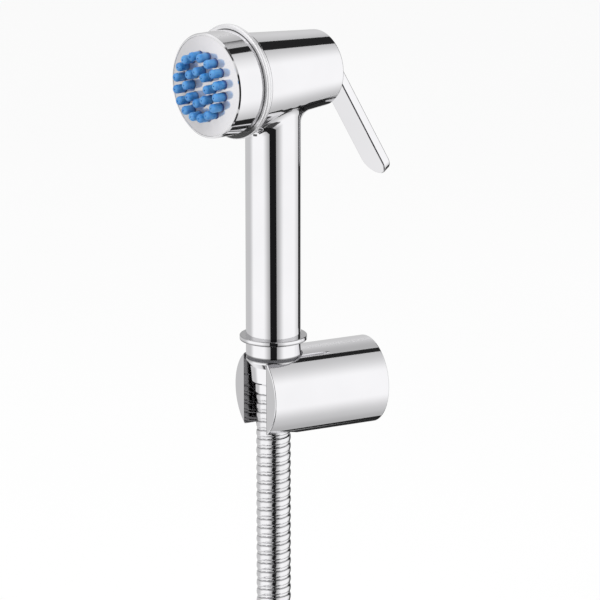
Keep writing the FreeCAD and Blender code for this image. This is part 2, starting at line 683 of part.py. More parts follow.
def hose_tube(points, name):
    path, radii = rounded_path(points)
    heading = Vector(*points[1]) - Vector(*points[0])
    section = Part.Wire(Part.makeCircle(HOSE_RADIUS, Vector(*points[0]), heading))
    tube = path.makePipeShell([section], True, False)
    expected = math.pi * HOSE_RADIUS**2 * path.Length
    print(name, "radii", [round(radius, 1) for radius in radii], "length", round(path.Length, 1))
    print(name, "volume share", round(tube.Volume / expected, 4))
    return tube


def make_hose_coil():
    inner = COIL_RADIUS - HOSE_RADIUS
    outer = COIL_RADIUS + HOSE_RADIUS
    top = FLOOR_Z + COIL_LAYERS * HOSE_DIAMETER
    ring = turned_z([(inner, FLOOR_Z), (outer, FLOOR_Z), (outer, top), (inner, top)])
    ring = ring.makeFillet(COIL_CORNER, [e for e in ring.Edges if isinstance(e.Curve, Part.Circle)])
    ring.translate(Vector(COIL_X, COIL_Y, 0))
    return ring


def end_route():
    y = COIL_Y
    points = [(END_X, y, FLOOR_Z + HOSE_RADIUS)]
    for run, height in zip(END_RUNS, (FLOOR_Z + HOSE_RADIUS, END_Z, END_Z)):
        y += run
        points.append((END_X, y, height))
    return points


def make_hose_end(coil):
    whole = hose_tube(end_route(), "hose_end")
    reach = sum(END_RUNS)
    side = 4 * HOSE_DIAMETER
    corner = Vector(END_X - side / 2, COIL_Y + TUBE_START, FLOOR_Z - PAST)
    return whole.common(Part.makeBox(side, reach, side, corner)).cut(coil)


# Fitting on the far end

def end_tube(diameter, start, end, bore=0.0):
    return tube_y(diameter, start, end, bore, x=END_X, z=END_Z)


def make_end_ferrule():
    return end_tube(END_FERRULE_DIAMETER, END_FERRULE_START, END_COLLAR_START, TAIL_DIAMETER)


def make_end_collar():
    end = END_COLLAR_START + END_COLLAR_LENGTH
    return end_tube(END_COLLAR_DIAMETER, END_COLLAR_START, end, TAIL_DIAMETER)


def make_end_tail():
    diameter = END_SEAT_DIAMETER - 2 * TURN_CLEARANCE
    tail = end_tube(diameter, END_FLANGE_START, END_WASHER_START)
    tail = tail.fuse(end_tube(TAIL_DIAMETER, END_FERRULE_START, END_WASHER_START))
    return tail.cut(end_tube(TAIL_BORE, END_FERRULE_START - PAST, END_NUT_END))


def make_end_nut():
    nut = end_tube(END_NUT_DIAMETER, END_NUT_START, END_NUT_END)
    rims = circle_edges(nut, END_NUT_DIAMETER / 2, END_NUT_END, "y")
    rims += circle_edges(nut, END_NUT_DIAMETER / 2, END_NUT_START, "y")
    nut = nut.makeChamfer(END_CHAMFER, rims)
    nut = nut.cut(end_tube(END_SEAT_DIAMETER, END_NUT_START + END_NUT_BACK, END_NUT_END))
    nut = nut.cut(end_tube(END_THREAD_DIAMETER, END_THREAD_START, END_NUT_END + PAST))
    neck = TAIL_DIAMETER + 2 * TURN_CLEARANCE
    return nut.cut(end_tube(neck, END_NUT_START - PAST, END_NUT_START + END_NUT_BACK + PAST))


def make_end_washer():
    diameter = END_SEAT_DIAMETER - 2 * TURN_CLEARANCE
    return end_tube(diameter, END_WASHER_START, END_THREAD_START, END_WASHER_BORE)


# Holder

def grub_place():
    return Vector(0, -PLATE_DEPTH / 2, -HOLDER_DIAMETER / 2 + GRUB_BELOW)


def make_holder():
    front = -(HOSE_FROM_WALL + HOLDER_LIP)
    holder = tube_y(HOLDER_DIAMETER, front, 0)
    rims = circle_edges(holder, HOLDER_DIAMETER / 2, front, "y")
    rims += circle_edges(holder, HOLDER_DIAMETER / 2, 0, "y")
    holder = holder.makeFillet(HOLDER_EDGE, rims)
    holder = holder.cut(tube_y(HOLDER_BORE, -HOLDER_RECESS, PAST))
    tall = 2 * HOLDER_DIAMETER
    corner = Vector(-SLOT_WIDTH / 2, front - PAST, -tall / 2)
    slot = Part.makeBox(SLOT_WIDTH, HOLDER_LIP + PAST, tall, corner)
    axis_cuts = tube_z(SLOT_WIDTH, -tall / 2, tall / 2)
    pocket = turned_z(nut_outline(SEAT_CLEARANCE))
    above = tube_z(NUT_DIAMETER + 2 * SEAT_CLEARANCE, NUT_TOP - SEAT_CLEARANCE, HOLDER_DIAMETER)
    for cut in (axis_cuts, pocket, above):
        cut.translate(Vector(0, -HOSE_FROM_WALL, 0))
        holder = holder.cut(cut)
    holder = holder.cut(slot)
    start = grub_place() - Vector(0, 0, PAST)
    hole = Part.makeCylinder(GRUB_DIAMETER / 2, HOLDER_DIAMETER / 2, start)
    return holder.cut(hole)


def make_wall_plate():
    plate = tube_y(HOLDER_BORE - 2 * PLATE_CLEARANCE, -PLATE_DEPTH, 0)
    for side in (-1, 1):
        x = side * WALL_HOLE_SPACING / 2
        plate = plate.cut(tube_y(WALL_HOLE_DIAMETER, -PLATE_DEPTH - PAST, PAST, x=x))
        sink = Part.makeCone(
            WALL_HOLE_DIAMETER / 2 + WALL_HOLE_SINK,
            WALL_HOLE_DIAMETER / 2,
            WALL_HOLE_SINK,
            Vector(x, -PLATE_DEPTH, 0),
            ALONG_Y,
        )
        plate = plate.cut(sink)
    return plate.cut(make_grub())


def make_grub():
    top = -HOLDER_BORE / 2 + PLATE_CLEARANCE + GRUB_BITE
    start = grub_place()
    return Part.makeCylinder(GRUB_DIAMETER / 2, top - start.z, start)


def make_holder_grub_screw():
    start = grub_place()
    return make_grub().cut(Part.makeCylinder(GRUB_DIAMETER / 4, GRUB_SOCKET, start))


handset_pieces = {
    "handset_body": make_handset_body(),
    "nozzle_cap": make_nozzle_cap(),
    "face_plate": make_face_plate(),
    "spray_nozzles": make_spray_nozzles(),
    "flow_disc": make_flow_disc(),
    "nozzle_base": make_nozzle_base(),
    "trim_ring": make_trim_ring(),
    "cap_seal": make_cap_seal(),
    "valve_body": make_valve_body(),
    "valve_gland": make_valve_gland(),
    "cartridge_seals": make_cartridge_seals(),
    "stem_seal": make_stem_seal(),
    "valve_stem": make_valve_stem(),
    "valve_washer": make_valve_washer(),
    "return_spring": make_return_spring(),
    "spring_plug": make_spring_plug(),
    "lever_bush": make_lever_bush(),
    "lever_pin": make_lever_pin(),
    "lever": make_lever(),
    "base_ring": make_base_ring(),
    "neck_collar": make_neck_collar(),
    "neck_washer": make_neck_washer(),
    "hose_nut": make_hose_nut(),
    "hose_nut_washer": make_hose_nut_washer(),
    "hose_tail": make_hose_tail(),
    "hose_ferrule": make_hose_ferrule(),
}
for piece_name, piece in handset_pieces.items():
    write(piece_name, place_handset(piece))

coil = make_hose_coil()
placed_pieces = {
    "hose": hose_tube(ROUTE, "hose").cut(coil),
    "hose_coil": coil,
    "hose_end": make_hose_end(coil),
    "end_ferrule": make_end_ferrule(),
    "end_collar": make_end_collar(),
    "end_tail": make_end_tail(),
    "end_nut": make_end_nut(),
    "end_washer": make_end_washer(),
    "holder": make_holder(),
    "wall_plate": make_wall_plate(),
    "holder_grub_screw": make_holder_grub_screw(),
}
for piece_name, piece in placed_pieces.items():
    write(piece_name, piece)
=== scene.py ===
import math

import bmesh
import bpy
from bpy.props import FloatProperty, FloatVectorProperty, IntProperty, PointerProperty
from mathutils import Matrix, Vector


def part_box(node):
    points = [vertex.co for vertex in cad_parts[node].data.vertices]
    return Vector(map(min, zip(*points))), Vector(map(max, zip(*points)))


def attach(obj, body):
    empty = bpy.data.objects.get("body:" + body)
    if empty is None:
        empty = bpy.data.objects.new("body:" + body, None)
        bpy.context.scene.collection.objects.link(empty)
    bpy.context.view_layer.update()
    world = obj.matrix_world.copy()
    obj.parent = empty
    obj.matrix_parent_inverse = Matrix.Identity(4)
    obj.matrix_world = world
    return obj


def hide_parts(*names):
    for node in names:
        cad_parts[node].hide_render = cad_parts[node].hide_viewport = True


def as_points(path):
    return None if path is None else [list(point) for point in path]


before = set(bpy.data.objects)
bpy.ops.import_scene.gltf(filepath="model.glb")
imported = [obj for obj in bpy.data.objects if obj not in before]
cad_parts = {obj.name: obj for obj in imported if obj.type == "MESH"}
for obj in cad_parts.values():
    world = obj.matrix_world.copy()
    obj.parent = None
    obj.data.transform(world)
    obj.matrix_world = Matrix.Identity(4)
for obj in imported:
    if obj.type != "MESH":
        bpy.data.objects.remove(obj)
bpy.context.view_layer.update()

bl_info = {
    "name": "Bidet Shower Set",
    "version": (1, 0, 0),
    "blender": (4, 5, 0),
    "location": "View3D > Sidebar > Bidet Shower",
    "description": "Ribbed hose, spray nubs, finishes and studio for a handheld bidet shower",
    "category": "Object",
}

# Places that the solids give, in metres
HOSE_AXIS = Vector((0.0, -0.0434, 0.0))
HANDSET_TURN = math.radians(13.6)
HANDSET = Matrix.Translation(HOSE_AXIS) @ Matrix.Rotation(HANDSET_TURN, 4, "Z")
HEAD_HEIGHT = 0.129
FACE_FRONT = -0.03435
MAT_REAR = -0.03135
SLOT_HALF = 0.0097
FLOOR_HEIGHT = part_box("hose_coil")[0].z


# Helpers


def nothing_selected():
    """Leave edit mode and deselect every object."""
    if bpy.context.object and bpy.context.object.mode != "OBJECT":
        bpy.ops.object.mode_set(mode="OBJECT")
    bpy.ops.object.select_all(action="DESELECT")


def add_object(name, data):
    """A new object at the origin."""
    thing = bpy.data.objects.new(name, data)
    bpy.context.scene.collection.objects.link(thing)
    return thing


def smooth_faces(piece, degrees):
    """Shade a piece smooth, apart from edges that are sharper than that."""
    nothing_selected()
    piece.select_set(True)
    bpy.context.view_layer.objects.active = piece
    bpy.ops.object.shade_smooth_by_angle(angle=math.radians(degrees))


# Hose

# The route down to the floor and out to the far end
HANG = (
    (0.0, -0.0434, 0.0005),
    (0.0, -0.0434, -0.053),
    (0.0009, -0.0439, -0.106),
    (0.0242, -0.0574, -0.148),
    (0.0641, -0.0804, -0.1675),
    (0.0927, -0.0969, -0.1675),
)
RUN_OUT = (
    (-0.02728, -0.1662, -0.1815),
    (-0.02728, -0.139, -0.1815),
    (-0.02728, -0.117, -0.1765),
    (-0.02728, -0.097, -0.1765),
)

# The coil between them, with angles round its centre in degrees. It goes from the upper layer
# down to the lower one between the two drop angles.
COIL_CENTRE = Vector((0.05272, -0.1662, 0.0))
COIL_RADIUS = 0.080
COIL_STEP = 15
COIL_START = 60
COIL_END = -540
DROP_START = -225
DROP_END = -270

LINE_RESOLUTION = 16
HOSE_SMOOTHING = 60
SPARE_TURNS = 2
TRIM_TURNS = 6

# One pitch of the interlocked steel strip: a wide rounded rib and a narrow band beside it, as
# (place along the pitch, depth under the hose's full size as a share of the groove, how dark the
# painted shade there is)
RIB = (
    (0.0, 1.0, 0.60),
    (0.05, 0.42, 0.15),
    (0.14, 0.12, 0.0),
    (0.34, 0.0, 0.0),
    (0.54, 0.06, 0.0),
    (0.64, 0.26, 0.0),
    (0.67, 0.74, 0.38),
    (0.72, 0.56, 0.0),
    (0.94, 0.60, 0.08),
)


def coil_points():
    """Turns of the coil, clockwise from above, dropping from the upper to the lower layer."""
    half = COIL_STEP / 2
    radius = COIL_RADIUS / math.cos(math.radians(half))
    upper = HANG[-1][2]
    lower = RUN_OUT[0][2]
    points = []
    angle = COIL_START - half
    while angle > COIL_END:
        share = min(max((DROP_START - angle) / (DROP_START - DROP_END), 0.0), 1.0)
        share = share * share * (3 - 2 * share)
        turn = math.radians(angle)
        flat = COIL_CENTRE + Vector((math.cos(turn), math.sin(turn), 0)) * radius
        points.append((flat.x, flat.y, upper + (lower - upper) * share))
        angle -= COIL_STEP
    return points


def hose_line():
    """Points close together on the hose's own smooth line."""
    points = [*HANG, *coil_points(), *RUN_OUT]
    curve = bpy.data.curves.new("hose_line", "CURVE")
    curve.dimensions = "3D"
    curve.resolution_u = LINE_RESOLUTION
    spline = curve.splines.new("NURBS")
    spline.points.add(len(points) - 1)
    for control, point in zip(spline.points, points):
        control.co = (*point, 1.0)
    spline.order_u = 3
    spline.use_endpoint_u = True
    holder = add_object("hose_line", curve)
    bpy.context.view_layer.update()
    mesh = bpy.data.meshes.new_from_object(holder)
    line = [vertex.co.copy() for vertex in mesh.vertices]
    bpy.data.objects.remove(holder)
    bpy.data.curves.remove(curve)
    bpy.data.meshes.remove(mesh)
    return line


class HosePath:
    """Place and frame at any distance along a line of points."""

    def __init__(self, line):
        self.line = line
        self.at = [0.0]
        for before, after in zip(line, line[1:]):
            self.at.append(self.at[-1] + (after - before).length)
        self.length = self.at[-1]
        ahead = (line[1] - line[0]).normalized()
        side = ahead.cross(Vector((0, 1, 0))).normalized()
        self.frames = []
        for k in range(len(line)):
            following = line[min(k + 1, len(line) - 1)]
            previous = line[max(k - 1, 0)]
            tangent = (following - previous).normalized()
            side = (side - tangent * side.dot(tangent)).normalized()
            self.frames.append((tangent, side, tangent.cross(side)))
        self.k = 0

    def around(self, distance, angle, radius):
        """A point on the tube's wall."""
        if distance < self.at[self.k]:
            self.k = 0
        while self.k < len(self.line) - 2 and distance > self.at[self.k + 1]:
            self.k += 1
        k = self.k
        share = (distance - self.at[k]) / (self.at[k + 1] - self.at[k])
        centre = self.line[k] + (self.line[k + 1] - self.line[k]) * share
        held = min(max(share, 0.0), 1.0)
        side = self.frames[k][1].lerp(self.frames[k + 1][1], held)
        up = self.frames[k][2].lerp(self.frames[k + 1][2], held)
        return centre + (side * math.cos(angle) + up * math.sin(angle)).normalized() * radius


def ribbed_hose(path, sizes):
    """A wall that follows the strip's screw line round and round."""
    around = sizes.sides
    pitch = sizes.rib_pitch
    radius = sizes.diameter / 2
    pitches = math.ceil(path.length / pitch) + SPARE_TURNS + 1
    rows = len(RIB) * pitches
    bm = bmesh.new()
    shade = bm.verts.layers.float.new("shade")
    walls = []
    for row in range(rows):
        turns, kind = divmod(row, len(RIB))
        place, depth, dark = RIB[kind]
        for column in range(around):
            distance = pitch * (turns + place - SPARE_TURNS + column / around)
            angle = 2 * math.pi * column / around
            wall = bm.verts.new(path.around(distance, angle, radius - depth * sizes.groove_depth))
            # painted shade for the grooves, kept on each vertex for the strip steel's colour
            wall[shade] = dark
            walls.append(wall)

    def corner(row, column):
        if column == around:
            return corner(row + len(RIB), 0)
        return walls[row * around + column] if row < rows else None

    faces = []
    for row in range(rows - 1):
        for column in range(around):
            ring = [
                corner(row, column),
                corner(row, column + 1),
                corner(row + 1, column + 1),
                corner(row + 1, column),
            ]
            if None not in ring:
                faces.append(bm.faces.new(ring))
    near = TRIM_TURNS * len(RIB) * around
    trim_end(bm, faces[:near], path.line[0], path.frames[0][0])
    trim_end(bm, faces[-near:], path.line[-1], -path.frames[-1][0])
    mesh = bpy.data.meshes.new("ribbed_hose")
    bm.to_mesh(mesh)
    bm.free()
    return add_object("ribbed_hose", mesh)


def trim_end(bm, near, place, inward):
    """Cut the wall square at one of the hose's ends, among the faces near it, and close it."""
    edges = dict.fromkeys(edge for face in near for edge in face.edges)
    verts = dict.fromkeys(vert for face in near for vert in face.verts)
    cut = bmesh.ops.bisect_plane(
        bm,
        geom=[*near, *edges, *verts],
        plane_co=place,
        plane_no=inward,
        clear_inner=True,
    )
    rim = [edge for edge in cut["geom_cut"] if isinstance(edge, bmesh.types.BMEdge)]
    bmesh.ops.holes_fill(bm, edges=[edge for edge in rim if edge.is_boundary], sides=0)


class BIDET_OT_hose(bpy.types.Operator):
    """Ribbed steel hose, hanging to the floor and coiled there"""

    bl_idname = "bidet.hose"
    bl_label = "Ribbed hose"

    def execute(self, context):
        sizes = context.scene.bidet_hose
        path = HosePath(hose_line())
        hose = ribbed_hose(path, sizes)
        smooth_faces(hose, HOSE_SMOOTHING)
        hose.data.materials.append(strip_steel(context.scene.bidet_finish))
        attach(hose, "frame")
        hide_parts("hose", "hose_coil", "hose_end")
        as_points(path.line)
        return {"FINISHED"}


# Spray nubs

# The two rings: how many nubs, the ring's radius, and its first nub's place in steps
NUB_RINGS = ((8, 0.0062, 0.0), (16, 0.012, 0.5))

TIP_SEGMENTS = 5
STRAIGHT_UP = 0.999
NUB_SMOOTHING = 50


def select_upward(nub):
    """Select the faces that look straight up, in edit mode."""
    bm = bmesh.from_edit_mesh(nub.data)
    for face in bm.faces:
        face.select = face.normal.z > STRAIGHT_UP
    bm.select_flush_mode()
    bmesh.update_edit_mesh(nub.data)


def one_nub(sizes):
    """A silicone nub on the Z axis, the face plate's rim at 0, with a rounded tip and an outlet."""
    nothing_selected()
    root = MAT_REAR - FACE_FRONT
    bpy.ops.mesh.primitive_cylinder_add(
        vertices=sizes.sides,
        radius=sizes.diameter / 2,
        depth=root + sizes.length,
        location=(0, 0, (sizes.length - root) / 2),
    )
    nub = bpy.context.object
    bpy.ops.object.transform_apply(location=True)
    bpy.ops.object.mode_set(mode="EDIT")
    bpy.ops.mesh.select_mode(type="FACE")
    select_upward(nub)
    bpy.ops.mesh.bevel(
        offset=sizes.rounding, offset_type="OFFSET", segments=TIP_SEGMENTS, affect="EDGES"
    )
    select_upward(nub)
    bpy.ops.mesh.inset(thickness=sizes.diameter / 2 - sizes.rounding - sizes.outlet / 2)
    bpy.ops.mesh.extrude_region_move(TRANSFORM_OT_translate={"value": (0, 0, -sizes.outlet)})
    bpy.ops.object.mode_set(mode="OBJECT")
    # heights along the nub, which place the painted shade at its root
    height = nub.data.attributes.new("height", "FLOAT", "POINT")
    for vertex in nub.data.vertices:
        height.data[vertex.index].value = vertex.co.z / sizes.length
    return nub


class BIDET_OT_nubs(bpy.types.Operator):
    """Blue silicone nubs that stand through the face plate in two rings"""

    bl_idname = "bidet.nubs"
    bl_label = "Spray nubs"

    def execute(self, context):
        pattern = one_nub(context.scene.bidet_nubs)
        forward = Matrix.Rotation(math.radians(90), 4, "X")
        nubs = []
        for count, radius, first in NUB_RINGS:
            for k in range(count):
                turn = 2 * math.pi * (k + first) / count
                rise = HEAD_HEIGHT + radius * math.cos(turn)
                place = Matrix.Translation((radius * math.sin(turn), FACE_FRONT, rise))
                mesh = pattern.data.copy()
                mesh.transform(HANDSET @ place @ forward)
                nubs.append(add_object("nub", mesh))
        nothing_selected()
        for nub in nubs:
            nub.select_set(True)
        context.view_layer.objects.active = nubs[0]
        bpy.ops.object.join()
        piece = context.object
        piece.name = "spray_nubs"
        bpy.data.objects.remove(pattern)
        smooth_faces(piece, NUB_SMOOTHING)
        piece.data.materials.clear()
        piece.data.materials.append(silicone(context.scene.bidet_finish))
        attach(piece, "frame")
        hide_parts("spray_nozzles")
        return {"FINISHED"}


# Finishes

# Where a noise is spread from its low to its high end, and the detail of a fine one
NOISE_SPREAD = (0.3, 0.7)
FINE_DETAIL = 2.0

# How much of a metal's own light is left where painted shade darkens it
NECK_SHADE = 0.12
SLOT_SHADE = 0.18
RING_SHADE = 0.08
JOINT_SHADE = 0.06

# Painted shade round the neck, in thin dark lines where one piece meets the next: height, half
# width and how dark
NECK_SHADE_LINES = (
    (0.0238, 0.0004, 0.5),
    (0.02185, 0.0009, 0.75),
    (0.0158, 0.0007, 0.8),
    (0.0146, 0.0006, 0.6),
)

# Where painted shade on the ring behind the cap turns from light to dark: beside the cap and inside
# its rim, by distance from the barrel's axis, and low down, as a painted reflection of the head's
# dark underside, by height over that axis
RING_LINE = (0.0211, 0.0207)
RING_RIM = (0.0223, 0.0221)
RING_LOW = (-0.0140, -0.0175)

# Where painted shade on the holder's slot walls turns from light to dark: by distance from the
# slot's middle, and in front of this place only
SLOT_EDGE = (SLOT_HALF + 0.0004, SLOT_HALF + 0.0001)
SLOT_END = HOSE_AXIS.y + 0.001

# Where a nub turns from the painted shade at its root to its own colour, as shares of its length
ROOT_SHADE_FADE = (0.16, 0.40)


def new_finish(name):
    """A material with its shader, and a reader of Object coordinates."""
    material = bpy.data.materials.new(name)
    material.use_nodes = True
    nodes = material.node_tree.nodes
    where = nodes.new("ShaderNodeTexCoord")
    return material, nodes["Principled BSDF"], where.outputs["Object"]


def shaded(colour, share):
    """A colour with a share of its light."""
    return [channel * share for channel in colour]


def add_noise(tree, where, scale, detail=3.0):
    """A cloudy pattern from 0 to 1."""
    noise = tree.nodes.new("ShaderNodeTexNoise")
    noise.inputs["Scale"].default_value = scale
    noise.inputs["Detail"].default_value = detail
    tree.links.new(where, noise.inputs["Vector"])
    return noise.outputs["Fac"]


def add_spread(tree, value, start, end, low=0.0, high=1.0):
    """A value that goes evenly from low to high while another goes from start to end."""
    spread = tree.nodes.new("ShaderNodeMapRange")
    spread.inputs["From Min"].default_value = start
    spread.inputs["From Max"].default_value = end
    spread.inputs["To Min"].default_value = low
    spread.inputs["To Max"].default_value = high
    tree.links.new(value, spread.inputs["Value"])
    return spread.outputs["Result"]


def add_fade(tree, value, start, end, high=1.0):
    """A value that goes softly from 0 to high while another goes from start to end."""
    result = add_spread(tree, value, start, end, 0.0, high)
    result.node.interpolation_type = "SMOOTHSTEP"
    return result


def add_math(tree, operation, *values):
    """A piece of arithmetic on sockets or numbers."""
    node = tree.nodes.new("ShaderNodeMath")
    node.operation = operation
    for socket, value in zip(node.inputs, values):
        if isinstance(value, (int, float)):
            socket.default_value = value
        else:
            tree.links.new(value, socket)
    return node.outputs["Value"]


def add_mix(tree, factor, first, second):
    """A blend from a colour socket to a plain colour."""
    mix = tree.nodes.new("ShaderNodeMix")
    mix.data_type = "RGBA"
    tree.links.new(factor, mix.inputs["Factor"])
    tree.links.new(first, mix.inputs["A"])
    mix.inputs["B"].default_value = (*second, 1)
    return mix.outputs["Result"]


def add_tint(tree, value, dark, light):
    """A colour from dark to light by a noise."""
    ramp = tree.nodes.new("ShaderNodeValToRGB")
    for element, place, colour in zip(ramp.color_ramp.elements, NOISE_SPREAD, (dark, light)):
        element.position = place
        element.color = (*colour, 1)
    tree.links.new(value, ramp.inputs["Fac"])
    return ramp.outputs["Color"]


def add_bump(tree, shader, value, strength, distance):
    """Relief on a shader by a pattern."""
    bump = tree.nodes.new("ShaderNodeBump")
    bump.inputs["Strength"].default_value = strength
    bump.inputs["Distance"].default_value = distance
    tree.links.new(value, bump.inputs["Height"])
    tree.links.new(bump.outputs["Normal"], shader.inputs["Normal"])


def split(tree, vector):
    """The X, Y and Z of a vector socket."""
    apart = tree.nodes.new("ShaderNodeSeparateXYZ")
    tree.links.new(vector, apart.inputs["Vector"])
    return [apart.outputs[axis] for axis in "XYZ"]


def object_place(tree):
    """Object coordinates."""
    return tree.nodes.new("ShaderNodeTexCoord").outputs["Object"]


def clouded(name, colour, darker, roughness, grain, fine, bump, depth):
    """A finish whose colour and roughness drift a little, with a finer grain in relief."""
    material, shader, where = new_finish(name)
    tree = material.node_tree
    clouds = add_noise(tree, where, grain)
    rough = add_spread(tree, clouds, *NOISE_SPREAD, *roughness)
    tree.links.new(rough, shader.inputs["Roughness"])
    drift = add_tint(tree, clouds, shaded(colour, darker), colour)
    tree.links.new(drift, shader.inputs["Base Color"])
    add_bump(tree, shader, add_noise(tree, where, fine, FINE_DETAIL), bump, depth)
    return material, shader


def metal(name, colour, roughness, grain, bump, mirror=1.0):
    """Metal. Mirror is how much of its look is a metal's own reflection."""
    material, shader = clouded(
        name,
        colour,
        darker=0.96,
        roughness=roughness,
        grain=grain,
        fine=12 * grain,
        bump=bump,
        depth=0.0001,
    )
    shader.inputs["Metallic"].default_value = mirror
    return material


def chrome_plate(name, finish):
    """The polished plate on most of the outside."""
    return metal(name, finish.chrome, roughness=(0.02, 0.04), grain=40, bump=0.004)


def dull(name, colour, roughness, grain, bump):
    """Plastic or rubber."""
    material, _ = clouded(
        name,
        colour,
        darker=0.93,
        roughness=roughness,
        grain=grain,
        fine=8 * grain,
        bump=bump,
        depth=0.0002,
    )
    return material


def darken(material, factor, colour):
    """Blend a dark colour over a finish's own, where factor says."""
    tree = material.node_tree
    base = tree.nodes["Principled BSDF"].inputs["Base Color"]
    tree.links.new(add_mix(tree, factor, base.links[0].from_socket, colour), base)


def neck_painted_shade_chrome(finish):
    """Chrome plate with painted shade round the neck: thin dark lines where one piece meets the
    next.
    """
    material = chrome_plate("neck chrome", finish)
    tree = material.node_tree
    height = split(tree, object_place(tree))[2]
    darkest = None
    for middle, width, depth in NECK_SHADE_LINES:
        away = add_math(tree, "ABSOLUTE", add_math(tree, "SUBTRACT", height, middle))
        line = add_fade(tree, away, width, width / 3, depth)
        darkest = line if darkest is None else add_math(tree, "MAXIMUM", darkest, line)
    # painted shade: the lines take the neck's chrome down to a small share of its light
    darken(material, darkest, shaded(finish.chrome, NECK_SHADE))
    return material


def ring_chrome(finish):
    """Satin chrome with a painted shade line beside the cap, and a painted reflection of the head's
    dark underside low down.
    """
    material = metal(
        "ring chrome", finish.satin, roughness=(0.20, 0.25), grain=60, bump=0.004, mirror=0.6
    )
    tree = material.node_tree
    straight = tree.nodes.new("ShaderNodeVectorRotate")
    straight.rotation_type = "Z_AXIS"
    straight.inputs["Center"].default_value = HOSE_AXIS
    straight.inputs["Angle"].default_value = -HANDSET_TURN
    tree.links.new(object_place(tree), straight.inputs["Vector"])
    across, _, height = split(tree, straight.outputs["Vector"])
    rise = add_math(tree, "SUBTRACT", height, HEAD_HEIGHT)
    flat = tree.nodes.new("ShaderNodeCombineXYZ")
    tree.links.new(across, flat.inputs["X"])
    tree.links.new(rise, flat.inputs["Y"])
    length = tree.nodes.new("ShaderNodeVectorMath")
    length.operation = "LENGTH"
    tree.links.new(flat.outputs["Vector"], length.inputs[0])
    radius = length.outputs["Value"]
    low = add_fade(tree, rise, *RING_LOW)
    low = add_math(tree, "MULTIPLY", low, add_fade(tree, radius, *RING_RIM))
    dark = add_math(tree, "MAXIMUM", add_fade(tree, radius, *RING_LINE), low)
    # painted shade and painted reflection, blended over the satin chrome
    darken(material, dark, shaded(finish.satin, RING_SHADE))
    return material


def slotted_chrome(finish):
    """Chrome plate with painted shade on the walls of the holder's slot, where little light gets
    in.
    """
    material = chrome_plate("holder chrome", finish)
    tree = material.node_tree
    across, deep, _ = split(tree, object_place(tree))
    inside = add_spread(tree, add_math(tree, "ABSOLUTE", across), *SLOT_EDGE)
    front = add_math(tree, "LESS_THAN", deep, SLOT_END)
    dark = add_math(tree, "MULTIPLY", inside, front)
    # painted shade on the slot walls
    darken(material, dark, shaded(finish.chrome, SLOT_SHADE))
    return material


def strip_steel(finish):
    """Polished strip with painted shade towards its joints, where little light gets in."""
    material, shader, where = new_finish("strip steel")
    tree = material.node_tree
    shader.inputs["Metallic"].default_value = 1.0
    clouds = add_noise(tree, where, scale=180)
    rough = add_spread(tree, clouds, *NOISE_SPREAD, low=0.11, high=0.16)
    tree.links.new(rough, shader.inputs["Roughness"])
    drift = add_tint(tree, clouds, shaded(finish.chrome, 0.92), finish.chrome)
    tree.links.new(drift, shader.inputs["Base Color"])
    groove_shade = tree.nodes.new("ShaderNodeAttribute")
    groove_shade.attribute_name = "shade"
    # painted shade in the grooves
    darken(material, groove_shade.outputs["Fac"], shaded(finish.chrome, JOINT_SHADE))
    return material


def silicone(finish):
    """Milky blue silicone with paler blotches, and painted shade in deep blue where a nub enters
    the face plate.
    """
    material, shader, where = new_finish("blue silicone")
    tree = material.node_tree
    clouds = add_noise(tree, where, scale=260, detail=FINE_DETAIL)
    rough = add_spread(tree, clouds, *NOISE_SPREAD, low=0.24, high=0.36)
    tree.links.new(rough, shader.inputs["Roughness"])
    height = tree.nodes.new("ShaderNodeAttribute")
    height.attribute_name = "height"
    # painted shade: deep blue near the root, fading out along the nub
    root = add_spread(tree, height.outputs["Fac"], *reversed(ROOT_SHADE_FADE))
    blotches = add_tint(tree, clouds, finish.silicone, finish.silicone_pale)
    blue = add_mix(tree, root, blotches, finish.silicone_root_shade)
    tree.links.new(blue, shader.inputs["Base Color"])
    shader.inputs["Subsurface Weight"].default_value = 0.45
    shader.inputs["Subsurface Radius"].default_value = (0.3, 0.6, 1.0)
    shader.inputs["Subsurface Scale"].default_value = 0.001
    fine = add_noise(tree, where, scale=2600, detail=FINE_DETAIL)
    add_bump(tree, shader, fine, strength=0.15, distance=0.0001)
    return material


def node_finishes(finish):
    """Each finish with the solids that have it."""
    face = metal(
        "face plate", finish.face, roughness=(0.08, 0.12), grain=60, bump=0.01, mirror=0.72
    )
    steel = metal("plain steel", finish.steel, roughness=(0.22, 0.36), grain=240, bump=0.15)
    brass = metal("machined brass", finish.brass, roughness=(0.20, 0.34), grain=300, bump=0.15)
    plastic = dull("white plastic", finish.plastic, roughness=(0.40, 0.55), grain=160, bump=0.10)
    rubber = dull("black rubber", finish.rubber, roughness=(0.55, 0.75), grain=320, bump=0.20)
    grey = dull("grey rubber", finish.grey_rubber, roughness=(0.5, 0.7), grain=260, bump=0.15)
    return (
        (
            chrome_plate("chrome plate", finish),
            ("handset_body", "nozzle_cap", "lever", "hose_ferrule", "end_ferrule", "end_nut"),
        ),
        (neck_painted_shade_chrome(finish), ("base_ring", "neck_collar", "hose_nut")),
        (slotted_chrome(finish), ("holder",)),
        (ring_chrome(finish), ("trim_ring",)),
        (face, ("face_plate",)),
        (steel, ("valve_stem", "return_spring", "lever_pin", "holder_grub_screw")),
        (brass, ("valve_body", "valve_gland", "spring_plug", "hose_tail", "end_tail")),
        (plastic, ("flow_disc", "nozzle_base", "lever_bush", "wall_plate")),
        (rubber, ("cap_seal", "cartridge_seals", "stem_seal", "valve_washer")),
        (rubber, ("hose_nut_washer", "end_washer")),
        (grey, ("neck_washer", "end_collar")),
        (silicone(finish), ("spray_nozzles",)),
    )


